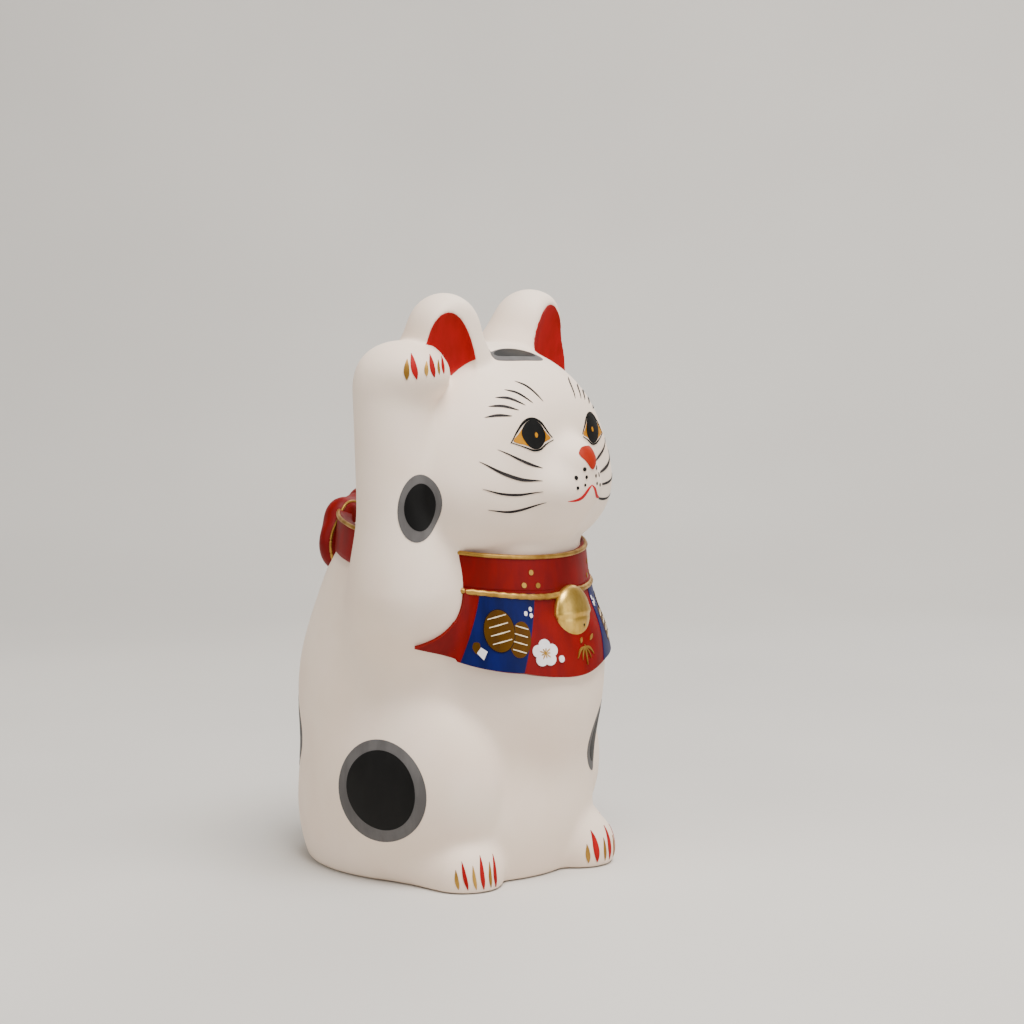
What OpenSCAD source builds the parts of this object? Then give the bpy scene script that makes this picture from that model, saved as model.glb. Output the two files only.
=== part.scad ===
// Beckoning cat figurine: a hollow press-moulded clay figure with luted-on relief pieces.
// Millimetres. Z is up, the cat faces -Y and raises the paw on its own right, at -X.
// The origin is the middle of the standing face on the floor.

/* [Figure] */
// Overall height, to the ear tips
figure_h = 200; // [150:1:260]
// Width of the seated body across the haunches
body_w = 104; // [84:1:130]
// Depth of the seated body, back to front paws
body_d = 112; // [92:1:136]
// Thickness of the clay wall
wall = 4; // [3:0.25:5.5]
// Where the front and rear halves meet, measured back from the body's middle
seam_back = 2; // [-6:1:10]

/* [Head and arm] */
// How wide the head is beside the body
head_ratio = 0.846; // [0.76:0.01:0.92]
// How far each ear stands above the crown
ear_rise = 20; // [14:1:26]
// Thickness of the raised arm
arm_t = 31; // [26:1:35]

/* [Collar and bib] */
// Height of the collar band
collar_h = 13; // [10:1:16]
// How far the collar stands out from the neck
collar_proud = 2.5; // [2:0.25:4]
// How far the bib hangs below the collar
bib_drop = 32; // [24:1:38]
// Depth of each pleat in the bib
pleat_depth = 0.8; // [0.4:0.1:1.4]
// Thickness of the cord under the collar
cord_t = 2.6; // [2:0.2:4]
// Diameter of the bell
bell_d = 19; // [14:0.5:24]

/* [Bow] */
// Length of each bow loop
loop_len = 27; // [20:1:34]
// Length of each hanging bow tail
bow_tail_len = 24; // [18:1:30]
// Thickness of the bow's ribbon
ribbon_t = 8; // [6:0.5:11]

/* [Foot] */
// Diameter of the disc that closes the foot
disc_d = 68; // [56:1:74]
// Thickness of the foot disc
disc_t = 6; // [5:0.5:8]
// Diameter of the drain hole in the disc
hole_d = 20; // [14:1:26]
// Gap all round between the stopper and its hole
stopper_gap = 0.05; // [0.03:0.01:0.09]

/* [Hidden] */
// The figure is drawn on a plan of this height, width and depth, then stretched to the sizes asked for.
plan_h = 200;
plan_w = 104;
plan_d = 112;
plan_head_ratio = 0.846;
plan_arm_t = 31;
plan_ear_rise = 20;
kx = body_w / plan_w;
ky = body_d / plan_d;
kz = figure_h / (plan_h + ear_rise - plan_ear_rise);
head_k = head_ratio / plan_head_ratio;
arm_k = arm_t / plan_arm_t;
form_fn = 32;
cavity_fn = 24;
round_fn = 96;
collar_fn = 64;
cord_fn = 16;
// Heights and places on the plan
neck_z = 112;
head_at = [0, -13, 143];
head_turn = 5;
collar_top = 111;
collar_mid = [0, -4];
collar_taper = 0.97;
// The collar and bib hang lower at the throat than at the nape.
collar_tilt = 8;
throat_y = -46;
hem_tilt = 22;
collar_r = [40.5, 42.5];
bib_mid = [2, -5];
bib_r = [48, 51];
bib_back = -12;
bib_flare = 0.87;
pleats = 14;
hem_step = 4;
bell_y = -46;
bell_flat = 0.62;
band_out = 0.5;
band_h = 1.6;
arm_x = -40;
arm_y = -9;
elbow_swell = 0.4;
haunch_out = 51.9;
back_out = 59;
paw_out = -57.5;
ear_at = [24.5, -10, 166];
ear_turns = [20, 12];
ear_front = -14.5;
bow_z = 121;
big = 4 * plan_h;
// The plan's own middle, so that the figure stands centred on the origin.
plan_right = min(arm_x - arm_t / 2 - elbow_swell, -haunch_out);
plan_middle = [(plan_right + haunch_out) / 2, (back_out + paw_out) / 2, 0];
// Foot: the disc sits on a ledge inside the foot, flush with the floor.
ledge_w = 4;
throat_up = 30;
disc_gap = 0.1;
disc_r = disc_d / 2;
// The stopper's flange is sunk in the disc, clear of the floor, with a hollow plug above it.
flange_t = 2;
flange_lip = 4;
flange_gap = 0.5;
flange_lift = 0.6;
plug_past = 5;
plug_wall = 2.5;
plug_floor = 1;
// Air hole between the arm and the body
vent_d = 6;
vent_reach = 30;
// How far a cutting shape runs past the face it opens
past = 1;

// Which piece to draw: "all", or one of the names above

clay_white = [0.93, 0.91, 0.88];
cloth_red = [0.66, 0.03, 0.03];
bell_gold = [0.72, 0.56, 0.22];
ear_white = [0.92, 0.89, 0.86];
raw_clay = [0.80, 0.68, 0.56];
stopper_rubber = [0.82, 0.80, 0.74];

// ---- Plan to real size -------------------------------------------------------------------------

// Stretches what is drawn on the plan and stands it on the origin.
module on_plan() {
    scale([kx, ky, kz])
        translate(-plan_middle)
            children();
}

// An egg-shaped lump: its centre and its three half sizes.
module lump(at, half, fn = form_fn) {
    translate(at)
        scale(half)
            sphere(r = 1, $fn = fn);
}

// Two lumps joined smoothly.
module limb(from, from_half, to, to_half, fn = form_fn) {
    hull() {
        lump(from, from_half, fn);
        lump(to, to_half, fn);
    }
}

// The same child on the cat's right and left.
module both_sides() {
    children();
    mirror([1, 0, 0]) children();
}

module above_floor() {
    intersection() {
        children();
        translate([-big / 2, -big / 2, 0]) cube(big);
    }
}

// ---- Outer forms, on the plan --------------------------------------------------------------------

module trunk() {
    hull() {
        lump([0, 5, 20], [48, 52, 54]);
        lump([0, 7, 58], [46, 50, 60]);
        lump([0, 2, 92], [42, 42, 40]);
        lump([0, -19, 68], [33, 32, 50]);
    }
}

module haunch() {
    limb([30, -1, 32], [22, 37, 38], [27, 4, 26], [22, 38, 40]);
}

module hind_foot() {
    limb([33, -8, 9], [15, 16, 18], [33, -29, 5], [13.5, 13.5, 14]);
}

module foreleg() {
    limb([18, -27, 70], [19, 19, 30], [16, -29, 12], [16, 16, 18]);
    limb([16, -31, 8], [15, 15, 17], [17, -40, 5], [13.5, 14, 14]);
}

// Widens the head and turns it a little towards the raised paw.
module at_head() {
    translate([head_at.x, head_at.y, 0])
        rotate([0, 0, -head_turn])
            scale([head_k, head_k, 1])
                translate([-head_at.x, -head_at.y, 0])
                    children();
}

module head_form() {
    at_head() {
        hull() {
            lump(head_at, [44, 40, 38]);
            both_sides() lump([20, -20, 132], [24, 26, 22]);
            lump([0, -33, 126], [18, 16, 12]);
        }
        limb([0, -41, 135], [19, 18, 13], [0, -30, 140], [28, 22, 24]);
    }
}

module neck_form() {
    limb([0, -12, neck_z], [35, 32, 24], [0, 0, neck_z], [37, 34, 24]);
}

module body_form() {
    above_floor() {
        trunk();
        both_sides() {
            haunch();
            hind_foot();
        }
        foreleg();
        neck_form();
        head_form();
    }
}

// Thickens or thins the arm about its own line.
module at_arm() {
    translate([arm_x, arm_y, 0])
        scale([arm_k, arm_k, 1])
            translate([-arm_x, -arm_y, 0])
                children();
}

module arm_form() {
    at_arm() {
        limb([-37, -9, 96], [18, 19, 22], [arm_x, -8, 112], [16, 16, 20]);
        limb([arm_x, -8, 108], [15.5, 15.5, 20], [-41, -5, 164], [14.5, 14.5, 16]);
        limb([-41, -5, 168], [14, 15, 13], [-41, -11, 171], [14, 16, 12]);
    }
}

// Draws an ear in its own place on the left: across, front to back and up from its middle, turned outwards.
module at_ear(turn) {
    translate(ear_at)
        rotate([0, 0, turn])
            children();
}

module ear_form(turn) {
    taller = ear_rise - plan_ear_rise;
    at_ear(turn)
        difference() {
            hull() {
                lump([0, 0, -14], [17.5, 19, 20]);
                lump([0, 0, 4 + taller], [17, 16, 22]);
                lump([0, -4, 20 + taller], [12, 12, 14]);
            }
            translate([-big / 2, ear_front - big, -big / 2]) cube(big);
        }
}

// The red inside of an ear, pressed in from the front.
module ear_hollow(turn) {
    at_ear(turn) lump([2, ear_front, -3], [12.6, 5.5, 27]);
}

// ---- Inner forms, in real millimetres from the outer ones -----------------------------------------

// A lump shrunk by the clay wall on every side.
module inner_lump(at, half) {
    inset = [wall / kx, wall / ky, wall / kz];
    lump(at, half - inset, cavity_fn);
}

module cavity_form() {
    hull() {
        inner_lump([0, 5, 20], [48, 52, 54]);
        inner_lump([0, 7, 58], [46, 50, 60]);
        inner_lump([0, 2, 92], [42, 42, 40]);
        inner_lump([0, -19, 68], [33, 32, 50]);
    }
    hull() {
        inner_lump([0, -10, neck_z], [34, 34, 24]);
        inner_lump([0, 0, neck_z], [36, 34, 24]);
    }
    at_head()
        hull() {
            inner_lump(head_at, [44, 40, 38]);
            both_sides() inner_lump([20, -20, 132], [24, 26, 22]);
        }
}

module arm_cavity() {
    at_arm()
        hull() {
            inner_lump([-40, -8, 106], [15, 15, 20]);
            inner_lump([-41, -6, 162], [14, 14, 14]);
        }
}

// Lets air out of the arm into the body while the clay dries and fires.
module arm_vent() {
    translate([arm_x, -8, 112])
        rotate([0, 90, 0])
            cylinder(d = vent_d, h = vent_reach, $fn = cavity_fn);
}

// ---- Half shells -----------------------------------------------------------------------------------

// Everything taken out of the foot: the disc's seat and the throat above it.
module foot_opening() {
    translate([0, 0, -past]) cylinder(r = disc_r, h = disc_t + past, $fn = round_fn);
    cylinder(r = disc_r - ledge_w, h = disc_t + throat_up, $fn = round_fn);
}

module hollow_body() {
    difference() {
        on_plan() body_form();
        intersection() {
            on_plan() cavity_form();
            translate([-big / 2, -big / 2, disc_t + wall]) cube(big);
        }
        on_plan() arm_vent();
        foot_opening();
    }
}

module front_side() {
    translate([-big / 2, seam_back - big, -big / 2]) cube(big);
}

module rear_side() {
    translate([-big / 2, seam_back, -big / 2]) cube(big);
}

module front_shell() {
    color(clay_white)
        intersection() {
            hollow_body();
            front_side();
        }
}

module rear_shell() {
    color(clay_white)
        intersection() {
            hollow_body();
            rear_side();
        }
}

// ---- Foot ------------------------------------------------------------------------------------------

module base_disc() {
    recess_r = hole_d / 2 + flange_lip + flange_gap;
    recess_h = flange_lift + flange_t;
    color(raw_clay)
        difference() {
            cylinder(r = disc_r - disc_gap, h = disc_t, $fn = round_fn);
            translate([0, 0, -past]) cylinder(d = hole_d, h = disc_t + 2 * past, $fn = round_fn);
            translate([0, 0, -past]) cylinder(r = recess_r, h = recess_h + past, $fn = round_fn);
        }
}

module base_stopper() {
    plug_r = hole_d / 2 - stopper_gap;
    color(stopper_rubber)
        translate([0, 0, flange_lift])
            difference() {
                union() {
                    cylinder(r = hole_d / 2 + flange_lip, h = flange_t, $fn = round_fn);
                    cylinder(r = plug_r, h = disc_t - flange_lift + plug_past, $fn = round_fn);
                }
                translate([0, 0, flange_t + plug_floor])
                    cylinder(r = plug_r - plug_wall, h = disc_t + plug_past, $fn = round_fn);
            }
}

// ---- Pieces luted on ---------------------------------------------------------------------------------

module raised_arm() {
    color(clay_white)
        on_plan()
            difference() {
                arm_form();
                body_form();
                arm_cavity();
                mirror([1, 0, 0]) ear_form(ear_turns[0]);
            }
}

module ear_piece(turn) {
    difference() {
        ear_form(turn);
        ear_hollow(turn);
    }
}

module right_ear() {
    color(ear_white)
        on_plan()
            difference() {
                mirror([1, 0, 0]) ear_piece(ear_turns[0]);
                body_form();
            }
}

module left_ear() {
    color(ear_white)
        on_plan()
            difference() {
                ear_piece(ear_turns[1]);
                body_form();
            }
}

module tail_form() {
    limb([6, 50, 26], [8, 9, 8], [14, 50, 34], [8, 9, 8]);
    limb([14, 50, 34], [8, 9, 8], [10, 49, 43], [6.5, 8, 6.5]);
}

module tail() {
    color(clay_white)
        on_plan()
            difference() {
                tail_form();
                body_form();
            }
}

// ---- Collar, bib, cord and bell -----------------------------------------------------------------------

// Tips the collar's ring back about the throat, so that its nape side rides up.
module tilted(angle = collar_tilt) {
    translate([0, throat_y, 0])
        rotate([angle, 0, 0])
            translate([0, -throat_y, 0])
                children();
}

// The collar's outside, slightly narrower at the top.
module collar_form() {
    h = collar_h / kz;
    proud = [collar_proud / kx, collar_proud / ky];
    translate([0, 0, collar_top - h])
        tilted()
            translate([collar_mid.x, collar_mid.y, 0])
                linear_extrude(height = h, scale = collar_taper)
                    scale(collar_r + proud)
                        circle(r = 1, $fn = collar_fn);
}

module collar_band() {
    color(cloth_red)
        on_plan()
            difference() {
                collar_form();
                body_form();
                arm_form();
            }
}

// Outline of the bib's hem, with its pleats.
function hem_point(turn) =
    let (ripple = pleat_depth * cos(pleats * turn))
    [(bib_r.x + ripple) * cos(turn), (bib_r.y + ripple) * sin(turn)];

// The bib's outside, flaring down from under the collar.
module bib_form() {
    drop = bib_drop / kz;
    translate([0, 0, collar_top - collar_h / kz])
        tilted()
            translate([bib_mid.x, bib_mid.y, -drop])
                linear_extrude(height = drop, scale = bib_flare)
                    polygon([for (turn = [0:hem_step:359]) hem_point(turn)]);
}

// The bib covers only the front, and its hem rises to a corner under each elbow.
module bib_front() {
    drop = bib_drop / kz;
    translate([0, 0, collar_top - collar_h / kz - drop])
        tilted(hem_tilt)
            translate([-big / 2, bib_back - big, 0])
                cube(big);
}

module bib() {
    color(cloth_red)
        on_plan()
            difference() {
                intersection() {
                    bib_form();
                    bib_front();
                }
                body_form();
                arm_form();
                cord_form();
            }
}

module cord_form() {
    cord_r = cord_t / 2;
    reach = collar_r + [collar_proud / kx, collar_proud / ky];
    translate([0, 0, collar_top - collar_h / kz])
        tilted()
            translate([collar_mid.x, collar_mid.y, 0])
                scale([1, reach.y / reach.x, 1])
                    rotate_extrude($fn = collar_fn)
                        translate([reach.x, 0])
                            circle(r = cord_r, $fn = cord_fn);
}

module bell_cord() {
    color(bell_gold)
        on_plan()
            difference() {
                intersection() {
                    cord_form();
                    bib_front();
                }
                body_form();
                arm_form();
                collar_form();
            }
}

// A round bell set into the bib, with a raised band round its middle.
module bell_form() {
    r = bell_d / 2;
    translate([0, bell_y, collar_top - collar_h / kz - r / kz]) {
        scale([r / kx, bell_flat * r / ky, r / kz])
            sphere(r = 1, $fn = form_fn);
        scale([1 / kx, bell_flat / ky, 1 / kz])
            cylinder(r = r + band_out, h = band_h, center = true, $fn = form_fn);
    }
}

// Keeps the bell below the cord, so that no crumb of its top is left behind the cord.
module above_cord() {
    translate([-big / 2, -big / 2, collar_top - collar_h / kz - cord_t / 4])
        cube(big);
}

module bell() {
    color(bell_gold)
        on_plan()
            difference() {
                bell_form();
                body_form();
                collar_form();
                cord_form();
                bib_form();
                above_cord();
            }
}

// ---- Bow at the back of the collar ----------------------------------------------------------------------

module knot_form() {
    lump([0, 37, bow_z], [6.5, 7, 7.5]);
}

module loop_form() {
    thick = ribbon_t / 2;
    hull() {
        lump([4, 37, bow_z + 1], [4, thick, 5]);
        lump([loop_len * 0.68, 33, bow_z - 1], [7, thick + 1, 10]);
        lump([loop_len * 0.78, 35, bow_z - 7], [6, thick, 8]);
        lump([loop_len * 0.5, 31, bow_z - 4], [6, thick, 8]);
    }
}

module bow_tail_form() {
    thick = ribbon_t / 2;
    hull() {
        lump([4.5, 38, bow_z - 5], [4, thick, 5]);
        lump([8.5, 41, bow_z - bow_tail_len], [6, thick, 5]);
    }
}

module bow_knot() {
    color(cloth_red)
        on_plan()
            difference() {
                knot_form();
                body_form();
                collar_form();
            }
}

module bow_loop() {
    difference() {
        loop_form();
        knot_form();
        body_form();
        collar_form();
    }
}

module bow_hanging_tail() {
    difference() {
        bow_tail_form();
        loop_form();
        knot_form();
        body_form();
        collar_form();
    }
}

module bow_right_loop() {
    color(cloth_red)
        on_plan()
            mirror([1, 0, 0]) bow_loop();
}

module bow_left_loop() {
    color(cloth_red)
        on_plan()
            bow_loop();
}

module bow_right_tail() {
    color(cloth_red)
        on_plan()
            mirror([1, 0, 0]) bow_hanging_tail();
}

module bow_left_tail() {
    color(cloth_red)
        on_plan()
            bow_hanging_tail();
}

front_shell();
rear_shell();
base_disc();
base_stopper();
raised_arm();
right_ear();
left_ear();
tail();
collar_band();
bib();
bell_cord();
bell();
bow_knot();
bow_right_loop();
bow_left_loop();
bow_right_tail();
bow_left_tail();
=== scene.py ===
import math

import bpy
import numpy as np
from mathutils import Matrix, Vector
from mathutils.geometry import delaunay_2d_cdt


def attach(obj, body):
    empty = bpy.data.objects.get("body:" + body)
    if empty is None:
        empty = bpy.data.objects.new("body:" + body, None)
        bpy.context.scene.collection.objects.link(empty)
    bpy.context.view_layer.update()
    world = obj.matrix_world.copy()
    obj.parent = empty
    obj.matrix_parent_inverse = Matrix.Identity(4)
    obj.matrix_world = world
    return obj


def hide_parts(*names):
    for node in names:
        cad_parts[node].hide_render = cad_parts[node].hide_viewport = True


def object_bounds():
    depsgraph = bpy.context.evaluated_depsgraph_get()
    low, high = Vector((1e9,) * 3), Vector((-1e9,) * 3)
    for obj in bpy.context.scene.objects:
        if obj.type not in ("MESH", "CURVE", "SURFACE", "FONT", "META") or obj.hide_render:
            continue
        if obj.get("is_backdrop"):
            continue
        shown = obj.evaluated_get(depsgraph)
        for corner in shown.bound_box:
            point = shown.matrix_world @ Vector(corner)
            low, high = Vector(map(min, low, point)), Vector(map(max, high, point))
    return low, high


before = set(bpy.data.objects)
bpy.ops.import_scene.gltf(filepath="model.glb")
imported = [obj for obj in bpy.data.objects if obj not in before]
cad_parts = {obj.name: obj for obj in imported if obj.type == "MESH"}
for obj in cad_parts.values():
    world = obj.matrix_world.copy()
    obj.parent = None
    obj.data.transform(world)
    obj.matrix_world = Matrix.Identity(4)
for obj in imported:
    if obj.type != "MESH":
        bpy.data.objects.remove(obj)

BOX_LOW, BOX_HIGH = (np.array(corner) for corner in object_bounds())

# ---- Clay forms -------------------------------------------------------------------------------
# Each form is a function of points, in millimetres on the maker's plan: the cat faces -Y, Z is up and the
# raised paw is at -X. It is below zero inside the clay and above zero outside.

PLAN_LOW = np.array([-55.92, -58.74, 0.0])
PLAN_HIGH = np.array([51.89, 58.96, 199.93])
HEAD_PIVOT = np.array([0.0, -13.0, 0.0])
HEAD_TURN = -5.0
EAR_AT = np.array([24.5, -10.0, 166.0])
EAR_TURNS = (20.0, 7.0)
EAR_FRONT = -14.5
SEAM_Y = 2.75
FOOT_R = 34.15
FOOT_MIDDLE = (-2.0, 0.75)
FOOT_DEPTH = 3.0


def turned(p, about, angle):
    """Points seen from something turned by angle degrees about an upright line."""
    c, s = math.cos(math.radians(angle)), math.sin(math.radians(angle))
    return (p - about) @ np.array([[c, -s, 0], [s, c, 0], [0, 0, 1]]) + about


def lump(p, at, half):
    """An egg of clay with its middle at a point and the given half sizes."""
    q = (p - np.array(at, float)) / np.array(half, float)
    near = np.sqrt((q * q).sum(1))
    q = q / np.array(half, float)
    return near * (near - 1) / np.maximum(np.sqrt((q * q).sum(1)), 1e-6)


def limb(p, a, b, ra, rb):
    """A round roll of clay from a to b, tapering from one radius to the other."""
    a, b = np.array(a, float), np.array(b, float)
    along = b - a
    t = np.clip((p - a) @ along / (along @ along), 0, 1)
    q = p - a - t[:, None] * along
    return np.sqrt((q * q).sum(1)) - (ra + (rb - ra) * t)


def blend(a, b, soft):
    """Joins two forms and smooths the crease over about the distance soft."""
    h = np.maximum(soft - np.abs(a - b), 0) / soft
    return np.minimum(a, b) - h**3 * soft / 6


def carve(a, tool, soft):
    """Takes away whatever lies inside the tool and rounds the rim by about the distance soft."""
    return -blend(-a, tool, soft)


def mirrored(p):
    """Points folded over to the cat's left side."""
    q = p.copy()
    q[:, 0] = np.abs(q[:, 0])
    return q


def trunk(p):
    q = mirrored(p)
    d = lump(p, (0, 5, 20), (48, 52, 54))
    d = blend(d, lump(p, (0, 7, 58), (46, 50, 60)), 12)
    d = blend(d, lump(p, (0, 2, 92), (42, 42, 40)), 14)
    d = blend(d, lump(p, (1, -22, 68), (32, 33, 41)), 12)
    d = blend(d, limb(p, (14, -30, 76), (15, -28, 14), 18, 15), 13)
    d = blend(d, lump(q, (31, -2, 33), (21.5, 37, 38)), 4.5)
    d = blend(d, limb(q, (33, -12, 6), (33, -27.5, 4), 12, 13.5), 5)
    return blend(d, lump(p, (17, -39, 5), (14, 15.2, 14.5)), 5)


def head(p):
    p = turned(p, HEAD_PIVOT, HEAD_TURN)
    q = mirrored(p)
    d = lump(p, (0, -13, 143), (44, 40, 38))
    d = blend(d, lump(q, (20, -22, 132), (24, 25, 22)), 12)
    d = carve(d, p[:, 1] + 50, 8)
    d = blend(d, lump(p, (0, -41.5, 133.5), (19, 17.5, 12.5)), 9)
    d = blend(d, lump(p, (0.5, -45, 142), (9.5, 14.3, 9.5)), 7)
    return blend(d, lump(p, (0, -33, 124), (20, 18, 12)), 9)


def body(p):
    d = blend(trunk(p), lump(p, (0, -12, 112), (35, 34, 21)), 6)
    return blend(d, head(p), 3)


def arm(p):
    d = lump(p, (-33, -7, 100), (20, 21, 25))
    d = blend(d, limb(p, (-40, -9, 100), (-40.5, -5.5, 166), 15.5, 14.3), 16)
    return blend(d, lump(p, (-40.5, -9, 172), (13.5, 16, 11)), 6)


def at_ear(p):
    """Points as each ear sees them: X outwards and Y to the back of the ear."""
    right, left = (turned(mirrored(p), EAR_AT, turn) - EAR_AT for turn in EAR_TURNS)
    return np.where(p[:, :1] < 0, right, left)


def ear_hollow(p):
    q = at_ear(p)
    right = lump(q, (4, EAR_FRONT, -4), (12, 5.5, 30))
    left = lump(q, (-0.5, EAR_FRONT, -4), (13.8, 5.5, 31))
    return np.where(p[:, 0] < 0, right, left)


def ear(p):
    q = at_ear(p)
    d = lump(q, (-1.5, -4, -14), (19, 22, 20))
    d = blend(d, lump(q, (-1, -3, 4), (17.5, 18, 21)), 6)
    d = blend(d, lump(q, (0, -5.5, 20), (12, 13, 12.5)), 6)
    d = carve(d, q[:, 1] - EAR_FRONT, 4)
    return carve(d, ear_hollow(p), 2)


def tail(p):
    d = limb(p, (6, 50, 25), (14, 51, 33), 7.5, 7.5)
    return blend(d, limb(p, (14, 51, 33), (9, 50, 43), 7.5, 5.5), 4)


def figure(p):
    d = blend(body(p), ear(p), 3)
    d = blend(d, tail(p), 2.5)
    soft = 2.2 + 2.8 / (1 + np.exp((p[:, 2] - 158) / 3)) + 18 / (1 + np.exp((p[:, 2] - 96) / 6))
    d = blend(d, arm(p), soft)
    return carve(d, p[:, 2], 2)


# ---- Collar and bib, measured round the throat ------------------------------------------------
# Points here are (turn, height): turn in degrees from the middle of the chest towards the cat's left.

BIB_AXIS = np.array([0.0, -6.0])
CORNER_TURN = 75.5
SIDE_TURN = 56.0
BIB_THICK = 1.8


def around(turn, reach, height):
    a = np.radians(turn)
    return np.stack(
        [BIB_AXIS[0] + np.sin(a) * reach, BIB_AXIS[1] - np.cos(a) * reach, height + 0 * a], -1
    )


def turn_of(p):
    return np.degrees(np.arctan2(p[:, 0] - BIB_AXIS[0], BIB_AXIS[1] - p[:, 1]))


def cord_height(turn):
    return 98.1 + 6 * (1 - np.cos(np.radians(turn)))


def hem_height(turn):
    lobes = 0.9 * np.abs(np.sin(np.radians((turn + 31) * 4)))
    rise = 11.1 * (np.abs(turn) / CORNER_TURN) ** 1.8 + 2.6 / (1 + np.exp((2 - turn) / 4))
    return 70.6 + rise - lobes * (np.abs(turn) < 60)


def body_reach(turns, heights):
    """How far the clay reaches from the throat's axis, for a grid of turns and heights."""
    t, h = np.meshgrid(turns, heights, indexing="ij")
    near, far = np.full(t.size, 10.0), np.full(t.size, 70.0)
    for _ in range(16):
        middle = (near + far) / 2
        spot = around(t.ravel(), middle, h.ravel())
        inside = figure(spot) < 0
        near, far = np.where(inside, middle, near), np.where(inside, far, middle)
    climb = 46.0 + 0.6 * np.maximum(94 - h, 0)
    return np.minimum(near, climb.ravel()).reshape(t.shape)


TURN_STEP, HEIGHT_STEP = 2.0, 1.5
TURNS = np.arange(-100.0, 101.0, TURN_STEP)
HEIGHTS = np.arange(60.0, 108.0, HEIGHT_STEP)
REACHES = body_reach(TURNS, HEIGHTS)


def clay_reach(turn, height):
    """Reads the grid of reaches between its points."""
    a = np.clip((turn - TURNS[0]) / TURN_STEP, 0, len(TURNS) - 1.001)
    b = np.clip((height - HEIGHTS[0]) / HEIGHT_STEP, 0, len(HEIGHTS) - 1.001)
    i, j = a.astype(int), b.astype(int)
    u, v = a - i, b - j
    low = REACHES[i, j] * (1 - u) + REACHES[i + 1, j] * u
    high = REACHES[i, j + 1] * (1 - u) + REACHES[i + 1, j + 1] * u
    return low * (1 - v) + high * v


def bib_reach(turn, height):
    """The bib's outside: it flares from the cord to the hem and never sinks into the chest."""
    top, hem = cord_height(turn), hem_height(turn)
    down = np.clip((top - height) / (top - hem), 0, 1.1)
    chest = clay_reach(turn, height) + BIB_THICK
    hem_reach = 50 - 5 * np.clip(np.abs(turn) / 60, 0, 1.4) ** 1.5 + 2 * np.exp(-(((turn - 34) / 14) ** 2))
    folds = 0.35 * np.sin(np.radians(turn * 9 + 40)) * down
    flare = 43 + (hem_reach - 43) * down**1.2
    home = np.clip((turn - 46) / 24, 0, 1)
    flare = flare + (np.minimum(chest, flare) - flare) * home**2 * (3 - 2 * home)
    return -blend(-flare, -chest, 3) + folds


def bib_form(p):
    rho = np.hypot(p[:, 0] - BIB_AXIS[0], p[:, 1] - BIB_AXIS[1])
    return rho - bib_reach(turn_of(p), p[:, 2])


COLLAR_MID = np.array([0.0, -4.0])
COLLAR_HALF = np.array([43.0, 45.0])
COLLAR_H = 13.0
COLLAR_TOP = 111.0
THROAT_Y = -46.0
COLLAR_TILT = math.tan(math.radians(8))


def collar_point(turn, out, up):
    """A point on the collar: out from its face and up from its lower edge."""
    a = np.radians(turn)
    lean = 1 - 0.03 * up / COLLAR_H
    x = COLLAR_MID[0] + np.sin(a) * (COLLAR_HALF[0] * lean + out)
    y = COLLAR_MID[1] - np.cos(a) * (COLLAR_HALF[1] * lean + out)
    return np.stack([x, y, COLLAR_TOP - COLLAR_H + up + (y - THROAT_Y) * COLLAR_TILT], -1)


# ---- From forms to meshes ---------------------------------------------------------------------

SCALE = (BOX_HIGH - BOX_LOW) / (PLAN_HIGH - PLAN_LOW)
BLOCK = 4


def on_cad(p):
    """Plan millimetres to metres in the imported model's frame."""
    return BOX_LOW + (np.asarray(p) - PLAN_LOW) * SCALE


def slope(form, p):
    h = 0.2
    return np.stack([(form(p + e) - form(p - e)) / (2 * h) for e in np.eye(3) * h], 1)


def facing(form, p):
    g = slope(form, p)
    return g / np.linalg.norm(g, axis=1)[:, None]


def settled(form, p, rounds=3):
    """Moves points along the slope until they lie on the form's surface."""
    for _ in range(rounds):
        g = slope(form, p)
        move = g * (form(p) / np.maximum((g * g).sum(1), 0.05))[:, None]
        size = np.linalg.norm(move, axis=1)
        p = p - move * np.minimum(1, 0.8 / np.maximum(size, 1e-9))[:, None]
    return p


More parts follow.
